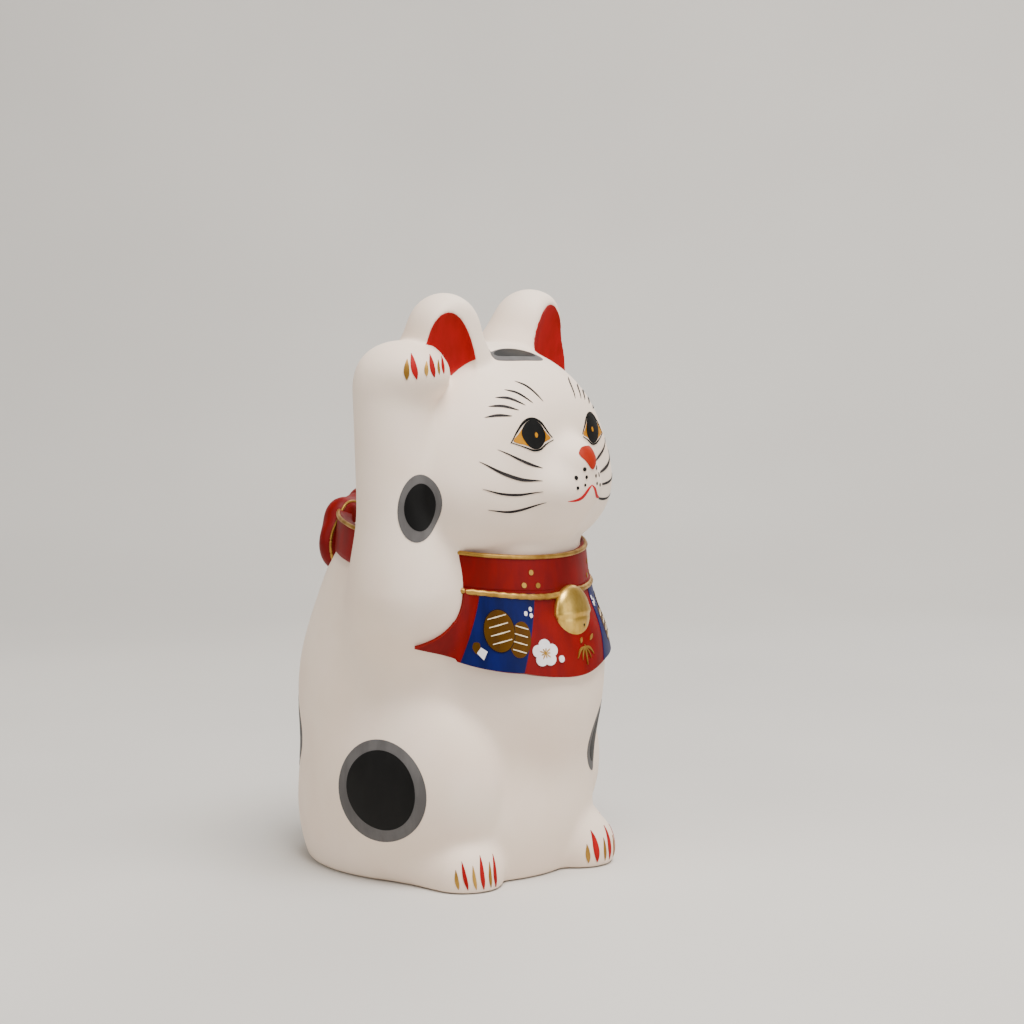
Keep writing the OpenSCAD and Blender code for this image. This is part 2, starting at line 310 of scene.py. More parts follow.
def surface_of(form, low, high, step):
    """Points and triangles of a form's surface, from a grid that is fine only near the surface."""
    low = np.array(low, float)
    cells = np.ceil((np.array(high) - low) / step / BLOCK).astype(int) * BLOCK
    wide = np.stack(np.meshgrid(*[np.arange(n // BLOCK + 1) for n in cells], indexing="ij"), -1)
    rough = form(low + wide.reshape(-1, 3) * step * BLOCK).reshape(wide.shape[:3])
    nearest = [np.rint(np.arange(n + 1) / BLOCK).astype(int) for n in cells]
    v = rough[np.ix_(*nearest)]
    close = np.argwhere(np.abs(v) < 1.5 * BLOCK * step)
    v[tuple(close.T)] = form(low + close * step)
    inside = v < 0
    n = np.array(v.shape) - 1
    count = sum(
        inside[i : n[0] + i, j : n[1] + j, k : n[2] + k].astype(int)
        for i in (0, 1)
        for j in (0, 1)
        for k in (0, 1)
    )
    cell = np.argwhere((count > 0) & (count < 8))
    index = np.full(count.shape, -1)
    index[tuple(cell.T)] = np.arange(len(cell))
    total, hits = np.zeros((len(cell), 3)), np.zeros(len(cell))
    units = np.eye(3, dtype=int)
    for axis in range(3):
        across = [units[(axis + 1) % 3], units[(axis + 2) % 3]]
        for i in (0, 1):
            for j in (0, 1):
                start = cell + i * across[0] + j * across[1]
                end = start + units[axis]
                va, vb = v[tuple(start.T)], v[tuple(end.T)]
                crosses = (va < 0) != (vb < 0)
                share = np.where(crosses, va / np.where(crosses, va - vb, 1), 0)
                total += np.where(crosses[:, None], start + share[:, None] * units[axis], 0)
                hits += crosses
    points = low + step * total / hits[:, None]
    faces = []
    for axis in range(3):
        u, w = units[(axis + 1) % 3], units[(axis + 2) % 3]
        a = np.take(inside, range(n[axis]), axis)
        b = np.take(inside, range(1, n[axis] + 1), axis)
        edge = np.argwhere(a != b)
        room = (edge @ u > 0) & (edge @ w > 0) & (edge @ u < n @ u) & (edge @ w < n @ w)
        edge = edge[room]
        quad = np.stack([index[tuple(q.T)] for q in (edge, edge - u, edge - u - w, edge - w)], 1)
        outward = a[tuple(edge.T)]
        quad = np.where(outward[:, None], quad, quad[:, ::-1])
        faces.append(quad)
    quad = np.concatenate(faces)
    points = settled(form, points)
    one = np.linalg.norm(points[quad[:, 0]] - points[quad[:, 2]], axis=1)
    two = np.linalg.norm(points[quad[:, 1]] - points[quad[:, 3]], axis=1)
    split = np.where((one < two)[:, None], quad, np.roll(quad, -1, axis=1))
    return points, np.concatenate([split[:, [0, 1, 2]], split[:, [0, 2, 3]]])


def cut(points, faces, value):
    """Splits triangles where value, one number per point, passes zero.
    Gives the points with the new ones added, the faces below zero and the faces above."""
    value = np.where(np.abs(value) < 1e-4, 1e-4, value)
    above = value > 0
    high = above[faces].sum(1)
    mixed = faces[(high == 1) | (high == 2)]
    odd = np.where(above[mixed].sum(1) == 1, 1, 0)
    lone = np.argmax(above[mixed] == odd[:, None], axis=1)
    rows = np.arange(len(mixed))
    a, b, c = (mixed[rows, (lone + k) % 3] for k in range(3))
    edges = np.sort(np.concatenate([np.stack([a, b], 1), np.stack([a, c], 1)]), axis=1)
    edge, place = np.unique(edges, axis=0, return_inverse=True)
    place = place.reshape(-1) + len(points)
    v0, v1 = value[edge[:, 0]], value[edge[:, 1]]
    share = (v0 / (v0 - v1))[:, None]
    added = points[edge[:, 0]] * (1 - share) + points[edge[:, 1]] * share
    m, n = place[: len(mixed)], place[len(mixed) :]
    tip = np.stack([a, m, n], 1)
    rest = np.concatenate([np.stack([m, b, c], 1), np.stack([m, c, n], 1)])
    tip_high = odd == 1
    rest_high = np.concatenate([~tip_high, ~tip_high])
    low_faces = np.concatenate([faces[high == 0], tip[~tip_high], rest[~rest_high]])
    high_faces = np.concatenate([faces[high == 3], tip[tip_high], rest[rest_high]])
    return np.concatenate([points, added]), low_faces, high_faces


def shell(points, normals, faces, inward, outward=0.0):
    """Closes an open patch into a thin solid. Gives its points, faces and the normal at each face corner."""
    used, place = np.unique(faces, return_inverse=True)
    f = place.reshape(-1, 3)
    p, n = points[used], normals[used]
    solid = np.concatenate([p + n * outward, p - n * inward])
    edges = np.concatenate([f[:, [0, 1]], f[:, [1, 2]], f[:, [2, 0]]])
    key = edges[:, 0] * len(p) + edges[:, 1]
    rim = edges[~np.isin(key, edges[:, 1] * len(p) + edges[:, 0])]
    i, j = rim[:, 0], rim[:, 1]
    k = len(p)
    wall = np.concatenate([np.stack([j, i, i + k], 1), np.stack([j, i + k, j + k], 1)])
    flat = np.cross(solid[wall[:, 1]] - solid[wall[:, 0]], solid[wall[:, 2]] - solid[wall[:, 0]])
    flat /= np.maximum(np.linalg.norm(flat, axis=1), 1e-12)[:, None]
    corner = np.concatenate([n[f], -n[f[:, ::-1]], np.repeat(flat[:, None], 3, axis=1)])
    return solid, np.concatenate([f, f[:, ::-1] + k, wall]), corner


def joined(parts):
    """Several (points, faces, corner normals) as one."""
    start = np.cumsum([0] + [len(p) for p, _, _ in parts])
    return (
        np.concatenate([p for p, _, _ in parts]),
        np.concatenate([f + s for (_, f, _), s in zip(parts, start)]),
        np.concatenate([c for _, _, c in parts]),
    )


def piece(name, solid, material, nodes=(), body_name="figure"):
    """Makes the object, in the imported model's frame, riding on its body."""
    points, faces, corners = solid
    mesh = bpy.data.meshes.new(name)
    mesh.from_pydata(on_cad(points).tolist(), [], faces.tolist())
    mesh.polygons.foreach_set("use_smooth", np.ones(len(faces), bool))
    if corners is not None:
        mesh.normals_split_custom_set((corners / SCALE * SCALE.mean()).reshape(-1, 3).tolist())
    mesh.validate()
    made = bpy.data.objects.new(name, mesh)
    bpy.context.scene.collection.objects.link(made)
    mesh.materials.append(material)
    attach(made, body_name)
    if nodes:
        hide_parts(*nodes)
    return made


# ---- Brush marks: flat outlines laid on a form -------------------------------------------------


def smooth_line(points, count=24, closed=False):
    """A smooth line through the points."""
    p = np.array(points, float)
    if closed:
        p = np.concatenate([p[-1:], p, p[:2]])
    else:
        p = np.concatenate([2 * p[:1] - p[1:2], p, 2 * p[-1:] - p[-2:-1]])
    spans = len(p) - 3
    t = np.linspace(0, spans, count, endpoint=not closed)
    i = np.minimum(t.astype(int), spans - 1)
    u = (t - i)[:, None]
    a, b, c, d = p[i], p[i + 1], p[i + 2], p[i + 3]
    return 0.5 * (2 * b + (c - a) * u + (2 * a - 5 * b + 4 * c - d) * u**2 + (3 * b - a - 3 * c + d) * u**3)


def stroke(points, width, fattest=0.5, blunt=0.02, count=26):
    """The outline of one brush stroke, widest at the share of its length given by fattest."""
    line = smooth_line(points, count)
    t = np.linspace(0, 1, count)
    swell = np.where(t < fattest, t / fattest, (1 - t) / (1 - fattest))
    half = 0.5 * width * np.maximum(np.sin(swell * math.pi / 2) ** 0.8, blunt)
    along = np.gradient(line, axis=0)
    side = np.stack([-along[:, 1], along[:, 0]], 1) / np.linalg.norm(along, axis=1)[:, None]
    return np.concatenate([line + side * half[:, None], (line - side * half[:, None])[::-1]])


def oval(at, half, tilt=0.0, count=32, wobble=0.0, seed=0):
    """An oval outline with a little of the hand in it."""
    t = np.linspace(0, 2 * math.pi, count, endpoint=False)
    c, s = math.cos(math.radians(tilt)), math.sin(math.radians(tilt))
    hand = 1 + wobble * (np.sin(2 * t + seed) + 0.6 * np.sin(3 * t + 2.3 * seed))
    x, y = half[0] * hand * np.cos(t), half[1] * hand * np.sin(t)
    return np.stack([at[0] + c * x - s * y, at[1] + s * x + c * y], 1)


def within(outline, p):
    """Which points lie inside the outline."""
    a, b = outline, np.roll(outline, -1, axis=0)
    x, y = p[:, 0][:, None], p[:, 1][:, None]
    straddles = (a[:, 1] > y) != (b[:, 1] > y)
    rise = np.where(b[:, 1] == a[:, 1], 1, b[:, 1] - a[:, 1])
    return (straddles & (x < a[:, 0] + (y - a[:, 1]) * (b[:, 0] - a[:, 0]) / rise)).sum(1) % 2 == 1


def filled(outline, grain):
    """Triangles filling an outline, at most about grain across."""
    size = np.linalg.norm(np.roll(outline, -1, axis=0) - outline, axis=1)
    outline = outline[size > 1e-4]
    nxt = np.roll(outline, -1, axis=0)
    finer = []
    for a, b in zip(outline, nxt):
        parts = max(1, int(np.ceil(np.linalg.norm(b - a) / grain)))
        finer.append(a + (b - a) * (np.arange(parts) / parts)[:, None])
    outline = np.concatenate(finer)
    low, high = outline.min(0), outline.max(0)
    rows = np.arange(low[1] + grain * 0.4, high[1], grain * 0.87)
    inner = [
        (x + grain * 0.5 * (k % 2), y) for k, y in enumerate(rows) for x in np.arange(low[0], high[0], grain)
    ]
    inner = np.array(inner, float).reshape(-1, 2)
    if len(inner):
        inner = inner[within(outline, inner)]
    if len(inner):
        gap = np.linalg.norm(inner[:, None] - outline[None], axis=2).min(1)
        inner = inner[gap > grain * 0.45]
    every = np.concatenate([outline, inner])
    ring = list(range(len(outline)))
    verts, _, faces, _, _, _ = delaunay_2d_cdt([Vector(q) for q in every], [], [ring], 1, 1e-5)
    p = np.array([[q.x, q.y] for q in verts])
    f = np.array([t for t in faces if len(t) == 3], int).reshape(-1, 3)
    return p, f


def faced(points, faces, normals):
    """The faces of a patch, turned so that they look the way of its normals."""
    a, b, c = (points[faces[:, k]] for k in range(3))
    return faces if (np.cross(b - a, c - a) * normals[faces[:, 0]]).sum() >= 0 else faces[:, ::-1]


def film(outlines, lay, form, lift, sunk=0.15, grain=1.0):
    """A thin layer of paint over the outlines. lay puts flat points on the form."""
    parts = []
    for outline in outlines:
        flat, faces = filled(np.asarray(outline, float), grain)
        if not len(faces):
            continue
        p = lay(flat)
        n = facing(form, p)
        parts.append(shell(p, n, faced(p, faces, n), sunk, lift))
    return joined(parts)


def meeting(form, start, direction):
    """Where lines from outside first meet the form."""
    t = np.zeros(len(start))
    for _ in range(90):
        t += np.clip(form(start + direction * t[:, None]) * 0.7, -2, 8)
    return start + direction * t[:, None]


class Sketch:
    """A drawing board held in front of the clay: its middle, and the way it faces towards the clay."""

    def __init__(self, form, middle, towards, upright=(0, 0, 1), head_on=False):
        self.form, self.head_on = form, head_on
        self.middle = np.array(middle, float)
        self.towards = np.array(towards, float) / np.linalg.norm(towards)
        self.across = np.cross(self.towards, np.array(upright, float))
        self.across /= np.linalg.norm(self.across)
        self.up = np.cross(self.across, self.towards)

    def lay(self, flat):
        """Points of the board, carried straight forward onto the form."""
        start = self.middle + flat[:, :1] * self.across + flat[:, 1:] * self.up - self.towards * 40
        direction = np.repeat(self.towards[None], len(flat), axis=0)
        if self.head_on:
            start = turned(start, HEAD_PIVOT, -HEAD_TURN)
            direction = turned(direction, np.zeros(3), -HEAD_TURN)
        return meeting(self.form, start, direction)

    def flat(self, *points):
        """Points in space as they fall on the board."""
        q = np.array(points, float) - self.middle
        return np.stack([q @ self.across, q @ self.up], 1)

    def film(self, outlines, lift, grain=1.0):
        return film(outlines, self.lay, self.form, lift, grain=grain)


def ring_faces(rings, count, closed):
    """Triangles between neighbouring rings of count points, with flat ends unless the rings close."""
    i = np.arange(rings if closed else rings - 1)[:, None] * count
    j = np.arange(count)[None]
    nxt = (i + count) % (rings * count)
    a0, a1, b0, b1 = i + j, i + (j + 1) % count, nxt + j, nxt + (j + 1) % count
    made = [np.stack([a0, b0, a1], -1).reshape(-1, 3), np.stack([a1, b0, b1], -1).reshape(-1, 3)]
    if not closed:
        last = (rings - 1) * count
        fan = np.arange(1, count - 1)
        made.append(np.stack([0 * fan, fan, fan + 1], 1))
        made.append(np.stack([0 * fan + last, last + fan + 1, last + fan], 1))
    return np.concatenate(made)


def tube(line, radius, count=10, twist=0.0, bumps=0.0):
    """A rounded cord along a line, its ends closed. Bumps and twist give it a laid look."""
    line = np.array(line, float)
    along = np.gradient(line, axis=0)
    along /= np.linalg.norm(along, axis=1)[:, None]
    side = np.cross(along, [0.0, 0.0, 1.0])
    weak = np.linalg.norm(side, axis=1) < 0.2
    side[weak] = np.cross(along[weak], [0.0, 1.0, 0.0])
    side /= np.linalg.norm(side, axis=1)[:, None]
    up = np.cross(side, along)
    size = np.broadcast_to(np.asarray(radius, float), (len(line),))
    a = np.linspace(0, 2 * math.pi, count, endpoint=False)
    lay = np.arange(len(line))[:, None] * twist
    r = size[:, None] * (1 + bumps * np.cos(2 * (a[None] + lay)))
    ring = r[..., None] * (np.cos(a)[None, :, None] * side[:, None] + np.sin(a)[None, :, None] * up[:, None])
    points = (line[:, None] + ring).reshape(-1, 3)
    return points, outward(points, ring_faces(len(line), count, False)), None


def outward(points, faces):
    """Turns every face the other way if the solid is inside out."""
    a, b, c = (points[faces[:, k]] for k in range(3))
    return faces if (a * np.cross(b, c)).sum() > 0 else faces[:, ::-1]


# ---- Materials --------------------------------------------------------------------------------


class Wire:
    """One value passing between shader nodes; arithmetic on it adds Math nodes."""

    def __init__(self, paint, socket):
        self.paint, self.socket = paint, socket

    def _with(self, operation, first, second):
        made = self.paint.node("ShaderNodeMath", {"operation": operation})
        self.paint.feed(made.inputs[0], first)
        self.paint.feed(made.inputs[1], second)
        return Wire(self.paint, made.outputs[0])

    def __add__(self, other):
        return self._with("ADD", self, other)

    def __radd__(self, other):
        return self._with("ADD", other, self)

    def __sub__(self, other):
        return self._with("SUBTRACT", self, other)

    def __rsub__(self, other):
        return self._with("SUBTRACT", other, self)

    def __mul__(self, other):
        return self._with("MULTIPLY", self, other)

    def __rmul__(self, other):
        return self._with("MULTIPLY", other, self)


class Paint:
    """A material with one Principled shader."""

    def __init__(self, name, **constant):
        self.material = bpy.data.materials.new(name)
        self.material.use_nodes = True
        self.tree = self.material.node_tree
        self.shader = self.tree.nodes["Principled BSDF"]
        for key, value in constant.items():
            self.shader.inputs[key.replace("_", " ")].default_value = value

    def node(self, kind, settings=None, **inputs):
        """Any other node: its type, its settings, then the values or links of its sockets."""
        made = self.tree.nodes.new(kind)
        for key, value in (settings or {}).items():
            setattr(made, key, value)
        for key, value in inputs.items():
            self.feed(made.inputs[key.replace("_", " ")], value)
        return made

    def feed(self, socket, value):
        if isinstance(value, Wire):
            value = value.socket
        if isinstance(value, bpy.types.NodeSocket):
            self.tree.links.new(value, socket)
        else:
            socket.default_value = value

    def noise(self, scale, detail=3.0, roughness=0.5, stretch=None):
        """Soft clouds from 0 to 1, drawn out along an axis where its stretch is small."""
        place = self.node("ShaderNodeTexCoord").outputs["Object"]
        if stretch:
            place = self.node("ShaderNodeMapping", Vector=place, Scale=stretch).outputs["Vector"]
        made = self.node("ShaderNodeTexNoise", Vector=place, Scale=scale, Detail=detail, Roughness=roughness)
        return Wire(self, made.outputs["Fac"])

    def spread(self, value, low, high, low_to, high_to):
        """Eases a value from one range to another."""
        made = self.node(
            "ShaderNodeMapRange",
            {"interpolation_type": "SMOOTHSTEP"},
            Value=value,
            From_Min=low,
            From_Max=high,
            To_Min=low_to,
            To_Max=high_to,
        )
        return Wire(self, made.outputs["Result"])

    def mix(self, share, one, other):
        """The first colour, turning into the other as share goes from 0 to 1."""
        made = self.node("ShaderNodeMix", {"data_type": "RGBA"})
        self.feed(made.inputs[0], share)
        for socket, value in ((made.inputs[6], one), (made.inputs[7], other)):
            self.feed(socket, value)
        return made.outputs[2]

    def set(self, **inputs):
        """Feeds the shader's own sockets."""
        for key, value in inputs.items():
            self.feed(self.shader.inputs[key.replace("_", " ")], value)

    def bump(self, height, strength, distance):
        made = self.node("ShaderNodeBump", Height=height, Strength=strength, Distance=distance)
        self.set(Normal=made.outputs["Normal"])


def tone(red, green, blue):
    """A colour as the eye names it, 0 to 255, for the shader."""
    channels = [c / 255 for c in (red, green, blue)]
    return tuple(c / 12.92 if c <= 0.04045 else ((c + 0.055) / 1.055) ** 2.4 for c in channels) + (1.0,)


def chalk_white(name, one, other, smudge):
    """White shell paint over biscuit clay: almost even, faintly clouded, finely grained and softly matt."""
    p = Paint(name, IOR=1.45)
    cloud = p.noise(26.0, 4.0, 0.55)
    grain = p.noise(1500.0, 3.0, 0.6)
    wash = p.noise(9.0, 2.0, 0.5, stretch=(1.0, 1.0, 0.45))
    base = p.mix(p.spread(cloud, 0.35, 0.68, 0.0, 1.0), one, other)
    dusty = p.mix(p.spread(wash, 0.56, 0.8, 0.0, 0.5), base, smudge)
    p.set(Base_Color=dusty)
    p.set(Roughness=0.52 + 0.1 * p.noise(70.0, 3.0, 0.5) + 0.04 * grain)
    p.bump(0.55 * grain + 0.45 * p.noise(330.0, 3.0, 0.6), 0.22, 0.00012)
    return p.material


def brushed(name, deep, bright, rough, streaks=(1.0, 1.0, 0.25), fleck=0.16, strength=0.3):
    """Hand-brushed paint: one colour laid a little thick and thin along the brush."""
    p = Paint(name, Specular_IOR_Level=0.16)
    brush = p.noise(240.0, 4.0, 0.6, stretch=streaks)
    pool = p.noise(60.0, 2.0, 0.5)
    p.set(Base_Color=p.mix(p.spread(0.6 * brush + 0.4 * pool, 0.36, 0.64, 0.0, 1.0), deep, bright))
    p.set(Roughness=rough + fleck * (brush - 0.5))
    p.bump(0.7 * brush + 0.3 * p.noise(1400.0, 2.0, 0.5), strength, 0.0001)
    return p.material


def gilt(name, deep, bright, metallic, rough):
    """Brass powder paint: metallic where it lies thick, duller and browner where it is thin."""
    p = Paint(name, Specular_IOR_Level=0.3)
    thick = p.noise(130.0, 4.0, 0.6, stretch=(1.0, 1.0, 0.4))
    powder = p.noise(2200.0, 2.0, 0.5)
    p.set(Base_Color=p.mix(p.spread(thick, 0.36, 0.66, 0.0, 1.0), deep, bright))
    p.set(Metallic=p.spread(thick, 0.3, 0.6, metallic * 0.8, metallic))
    p.set(Roughness=rough + 0.16 * (powder - 0.5) + 0.12 * (0.5 - thick))
    p.bump(0.6 * thick + 0.4 * powder, 0.3, 0.00012)
    return p.material


def biscuit(name):
    """Bare fired clay, sanded flat, with small dark and pale grains."""
    p = Paint(name, IOR=1.45)
    cloud = p.noise(45.0, 4.0, 0.6)
    place = p.node("ShaderNodeTexCoord").outputs["Object"]
    cell = p.node("ShaderNodeTexVoronoi", Vector=place, Scale=620.0)
    speck = p.spread(Wire(p, cell.outputs["Distance"]), 0.05, 0.2, 1.0, 0.0)
    clay = p.mix(p.spread(cloud, 0.3, 0.7, 0.0, 1.0), tone(196, 170, 144), tone(214, 194, 172))
    p.set(Base_Color=p.mix(0.5 * speck, clay, tone(150, 118, 92)))
    p.set(Roughness=0.82 + 0.1 * cloud)
    p.bump(0.6 * p.noise(800.0, 4.0, 0.6) + 0.4 * (1 - speck), 0.5, 0.0002)
    return p.material


def rubber(name):
    """Pale soft rubber with a bloom on it."""
    p = Paint(name, IOR=1.5)
    bloom = p.noise(120.0, 4.0, 0.6)
    p.set(Base_Color=p.mix(p.spread(bloom, 0.35, 0.7, 0.0, 1.0), tone(196, 190, 172), tone(212, 208, 194)))
    p.set(Roughness=0.58 + 0.16 * bloom)
    p.bump(p.noise(900.0, 3.0, 0.5), 0.35, 0.00012)
    return p.material


white = chalk_white("shell white", tone(238, 217, 198), tone(243, 225, 208), tone(228, 204, 183))
red = brushed("deep red", tone(102, 0, 0), tone(122, 0, 1), 0.5)
ear_red = brushed("ear red", tone(138, 0, 1), tone(160, 1, 2), 0.6)
blue = brushed("royal blue", tone(0, 8, 62), tone(0, 13, 82), 0.5)
black = brushed("lamp black", tone(5, 5, 5), tone(12, 12, 12), 0.5)
whisker = brushed("thin black", tone(24, 20, 21), tone(46, 42, 43), 0.6)
grey = brushed("grey", tone(84, 82, 82), tone(97, 95, 95), 0.6)
yellow = brushed("yellow", tone(166, 106, 0), tone(180, 120, 0), 0.55)
coral = brushed("coral", tone(140, 28, 5), tone(156, 36, 9), 0.5)
lip_red = brushed("lip red", tone(170, 4, 18), tone(190, 10, 28), 0.55)
claw_red = brushed("claw red", tone(140, 2, 6), tone(166, 8, 12), 0.6)
cream = brushed("cream", tone(214, 196, 160), tone(232, 218, 188), 0.55)
blossom_white = brushed("blossom white", tone(220, 214, 216), tone(236, 232, 234), 0.55)
gold = gilt("gold paint", tone(138, 100, 36), tone(186, 146, 72), 0.75, 0.46)
bell_gold = gilt("bell gold", tone(172, 132, 48), tone(222, 186, 98), 0.9, 0.34)
coin_gold = gilt("coin gold", tone(78, 47, 2), tone(94, 60, 6), 0.7, 0.5)
biscuit_clay = biscuit("bare clay")
pale_rubber = rubber("pale rubber")


# ---- The clay body ----------------------------------------------------------------------------

STEP = 1.3
points, faces = surface_of(figure, PLAN_LOW - 2.2, PLAN_HIGH + 2.2, STEP)


def foot_opening(p):
    """The round opening under the foot, which base_disc closes."""
    across = np.hypot(p[:, 0] - FOOT_MIDDLE[0], p[:, 1] - FOOT_MIDDLE[1])
    return np.maximum(across - FOOT_R, p[:, 2] - FOOT_DEPTH)


points, arm_faces, rest = cut(points, faces, arm(points) - blend(body(points), ear(points), 3))
points, ear_faces, rest = cut(points, rest, ear(points) - body(points))
points, tail_faces, rest = cut(points, rest, tail(points) - body(points))
points, _, rest = cut(points, rest, foot_opening(points))
points, front_faces, rear_faces = cut(points, rest, points[:, 1] - SEAM_Y)
normals = facing(figure, points)
right_side = points[ear_faces].mean(1)[:, 0] < 0

WALL, THIN_WALL = 3.2, 2.4
clay = {
    "front_shell": (front_faces, WALL, "white_clay"),
    "rear_shell": (rear_faces, WALL, "white_clay"),
    "raised_arm": (arm_faces, WALL, "white_clay"),
    "right_ear": (ear_faces[right_side], THIN_WALL, "ear_clay"),
    "left_ear": (ear_faces[~right_side], THIN_WALL, "ear_clay"),
    "tail": (tail_faces, THIN_WALL, "white_clay"),
}
for name, (part, wall, slot) in clay.items():
    piece("clay_" + name, shell(points, normals, part, wall), white, [name])

# The red inside of each ear, brushed up to the hollow's edge, down to a slanting line and clear of the paw
for side, word, low in ((-1, "right", 5.6), (1, "left", -9)):
    near_edge, far_edge = sorted((8.0 * side, 47.0 * side))
    p, f = surface_of(figure, (near_edge, -34, 150), (far_edge, -8, 199), 0.65)
    p, f, _ = cut(p, f, ear_hollow(p) - 0.45)
    p, f, _ = cut(p, f, np.maximum(ear(p) - body(p) - 2.6, low - at_ear(p) @ (0.72, 0, 1)))
    p, f, _ = cut(p, f, ear(p) - arm(p) + 0.25)
    piece(f"{word}_ear_red", shell(p, facing(figure, p), f, 0.2, 0.16), ear_red)


# ---- Collar, cord, bib and bell ---------------------------------------------------------------


def collar_ring(turns, profile):
    """Sweeps a closed profile of (out, up) points round the throat, along the collar."""
    rows = [collar_point(turns, out, up) for out, up in profile]
    solid = np.stack(rows, 1).reshape(-1, 3)
    return solid, outward(solid - solid.mean(0), ring_faces(len(turns), len(profile), True)), None


round_collar = np.linspace(0, 360, 180, endpoint=False)
EDGE_R = 0.9
collar_profile = [(0.0, up) for up in np.linspace(0.6, COLLAR_H - EDGE_R, 8)]
for a in np.linspace(0.3, 2.4, 6):
    collar_profile.append((-EDGE_R + EDGE_R * math.cos(a), COLLAR_H - EDGE_R + EDGE_R * math.sin(a)))
collar_profile += [(-4.5, COLLAR_H - 1.2), (-6.0, 6.0), (-4.5, 0.0), (-0.6, 0.0)]
piece("collar", collar_ring(round_collar, collar_profile), red, ["collar_band"])


def collar_lay(flat):
    """Flat points (turn, height above the lower edge) on the collar's face."""
    return collar_point(flat[:, 0], 0 * flat[:, 0], flat[:, 1])


def collar_form(p):
    up = p[:, 2] - (COLLAR_TOP - COLLAR_H) - (p[:, 1] - THROAT_Y) * COLLAR_TILT
    lean = 1 - 0.03 * up / COLLAR_H
    x = (p[:, 0] - COLLAR_MID[0]) / (COLLAR_HALF[0] * lean)
    y = (p[:, 1] - COLLAR_MID[1]) / (COLLAR_HALF[1] * lean)
    return (np.hypot(x, y) - 1) * COLLAR_HALF.mean()


EDGING_R = 0.75
edging = [
    (-0.15 + EDGING_R * math.cos(a), COLLAR_H - 0.55 + EDGING_R * math.sin(a))
    for a in np.linspace(0, 2 * math.pi, 10)[:-1]
]
piece("collar_gold_edge", collar_ring(round_collar, edging), gold)

DOT = 0.9
COLLAR_MM = 180 / math.pi / COLLAR_HALF.mean()
front_dots = [(-24.5, 7.4), (-28.4, 3.2), (-21.2, 3.1), (24.5, 7.4), (28.4, 3.2), (21.2, 3.1)]
rear_dots = [(88, 7.4), (84.4, 3.2), (92, 3.1), (-180, 7.6), (-183.8, 3.4), (-176.2, 3.4)]
dots = [oval(at, (DOT * COLLAR_MM, DOT), count=16) for at in front_dots + rear_dots]
piece("collar_gold_dots", film(dots, collar_lay, collar_form, 0.2, grain=1.2), gold)

cord_turns = np.linspace(-96, 96, 240)
cord_up = -0.3 + 0.35 * np.sin(np.radians(cord_turns * 5)) + 1.1 * np.exp(-((cord_turns + 1) / 7) ** 2)
cord_line = collar_point(cord_turns, 0.15 + 0 * cord_turns, cord_up)
piece("gold_cord", tube(cord_line, 1.05, 10, twist=0.55, bumps=0.07), gold, ["bell_cord"])

# The bib is a flared sheet of clay. Its grid runs from the cord down to the hem.
bib_shares = np.linspace(-1, 1, 170)
bib_down = np.linspace(0, 1, 40)


def bib_point(share, down, out=0.0):
    """share runs from -1 at the cat's right edge to 1 at its left one, and down from the cord to the hem."""
    turn = share * (SIDE_TURN + (CORNER_TURN - SIDE_TURN) * down**2.2)
    top = cord_height(turn) + 0.8
    height = top + (hem_height(turn) - top) * down
    return around(turn, bib_reach(turn, height) + out, height)


def sheet_of(shares, downs, out, back):
    """The bib as a sheet of even thickness."""
    t, d = np.meshgrid(shares, downs, indexing="ij")
    t, d = t.ravel(), d.ravel()
    face = bib_point(t, d, out)
    m, n = len(shares), len(downs)
    i, j = np.meshgrid(np.arange(m - 1), np.arange(n - 1), indexing="ij")
    a = (i * n + j).ravel()
    made = np.concatenate([np.stack([a, a + 1, a + n], 1), np.stack([a + n, a + 1, a + n + 1], 1)])
    normal = facing(bib_form, face)
    return shell(face, normal, faced(face, made, normal), back)


red_sheet = sheet_of(bib_shares, bib_down, 0.0, 1.9)
piece("bib_sheet", red_sheet, red, ["bib"])


BIB_MM = 180 / math.pi / 45


def bib_lay(flat):
    """Flat points on the bib, in millimetres along the throat and in height."""
    turn = flat[:, 0] * BIB_MM
    return around(turn, bib_reach(turn, flat[:, 1]), flat[:, 1])


def bib_film(name, outlines, lift, paint, grain=1.1):
    return piece(name, film(outlines, bib_lay, bib_form, lift, grain=grain), paint)


def mm(turn, height):
    """A mark on the bib, from its turn round the throat and its height."""
    return (turn / BIB_MM, height)


def panel(left_top, left_hem, right_top, right_hem):
    """A cloth panel from the cord to the hem, its left and right edges given as turns."""
    s = np.linspace(0, 1, 14)
    edges = []
    for top, hem in ((left_top, left_hem), (right_top, right_hem)):
        turn = top + (hem - top) * s**1.3
        high = cord_height(turn)
        edges.append(np.stack([turn / BIB_MM, high + (hem_height(turn) - high) * s * 0.995], 1))
    hem_turn = np.linspace(left_hem, right_hem, 16)[1:-1]
    hem = np.stack([hem_turn / BIB_MM, hem_height(hem_turn) + 0.1], 1)
    top_turn = np.linspace(right_top, left_top, 12)[1:-1]
    top = np.stack([top_turn / BIB_MM, cord_height(top_turn)], 1)
    return np.concatenate([edges[0], hem, edges[1][::-1], top])


PANEL_SHIFT = 7.5
blue_panels = [panel(-49.5, -58.0, -23.6, -32.0), panel(18.5, 11.0, 47.0, 52.0)]
bib_film("bib_blue_panels", blue_panels, 0.22, blue, grain=1.6)

